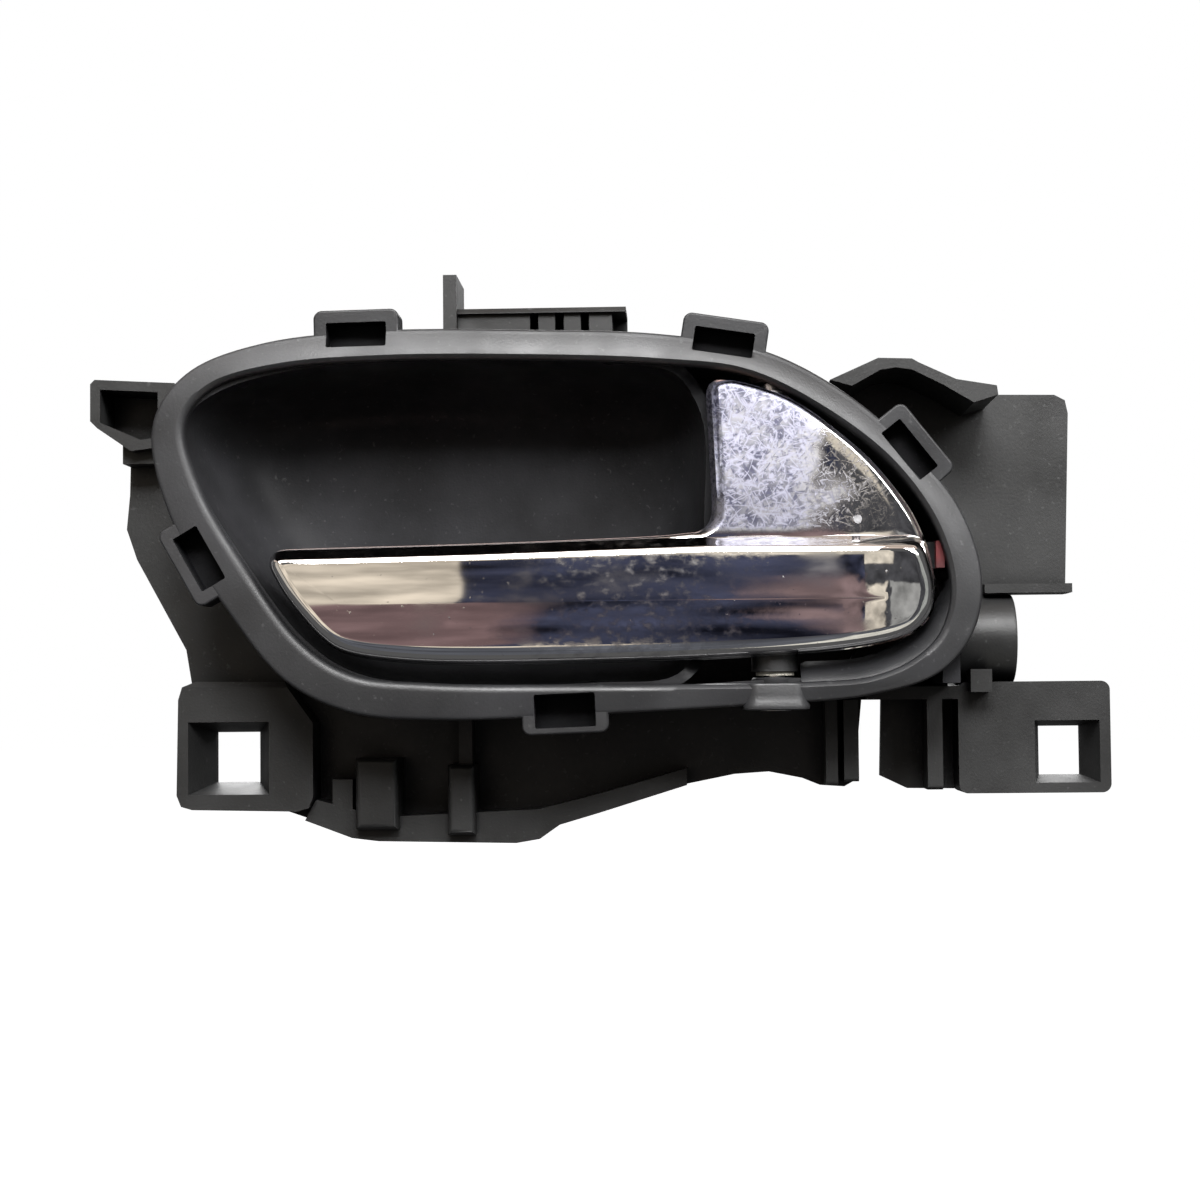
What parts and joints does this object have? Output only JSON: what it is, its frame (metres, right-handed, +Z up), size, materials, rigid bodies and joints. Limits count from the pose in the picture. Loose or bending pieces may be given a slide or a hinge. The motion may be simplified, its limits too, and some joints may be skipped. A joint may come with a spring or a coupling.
{
  "type": "interior door handle",
  "caption": "Interior car door release handle: chromed pull lever hinged in a moulded bezel and finger tub, on a black carrier frame with square fixing holes.",
  "frame": {"origin": "midway between the two square fixing holes, on the carrier's flat rear seating plane", "axes": "+X to the right seen from the cabin, +Z up, +Y into the door; the lever pulls out towards -Y"},
  "size_m": [0.1816, 0.0372, 0.1016],
  "materials": {
    "bezel_plastic": "satin moulded",
    "carrier_plastic": "satin moulded",
    "lever_plastic": "satin moulded",
    "chrome": "polished, scratched",
    "steel": "zinc plated",
    "nylon": "natural",
    "red_rubber": "matte",
    "black_rubber": "matte"
  },
  "bodies": {
    "housing": {"bezel_tub": "bezel_plastic", "carrier_frame": "carrier_plastic", "cable_guide": "carrier_plastic", "cable_liner": "nylon", "pivot_pin": "steel", "pin_retaining_clip": "steel", "return_spring": "steel", "closed_stop_bumper": "red_rubber", "open_stop_bumper": "black_rubber", "carrier_screw_1": "steel", "carrier_screw_2": "steel", "carrier_screw_3": "steel", "carrier_screw_4": "steel", "carrier_screw_5": "steel"},
    "lever": {"lever_shell": "chrome", "lever_core": "lever_plastic", "lever_bush_lower": "nylon", "lever_bush_upper": "nylon", "shell_screw_1": "steel", "shell_screw_2": "steel", "shell_screw_3": "steel"}
  },
  "joints": [
    {"name": "lever_pull", "type": "hinge", "parent": "housing", "child": "lever", "pos_m": [0.0219, -0.025, 0.038], "axis": [0, 0, 1], "range_deg": [0, 28], "stiffness_Nm_per_rad": 0.25, "springref_deg": -34.38}
  ]
}
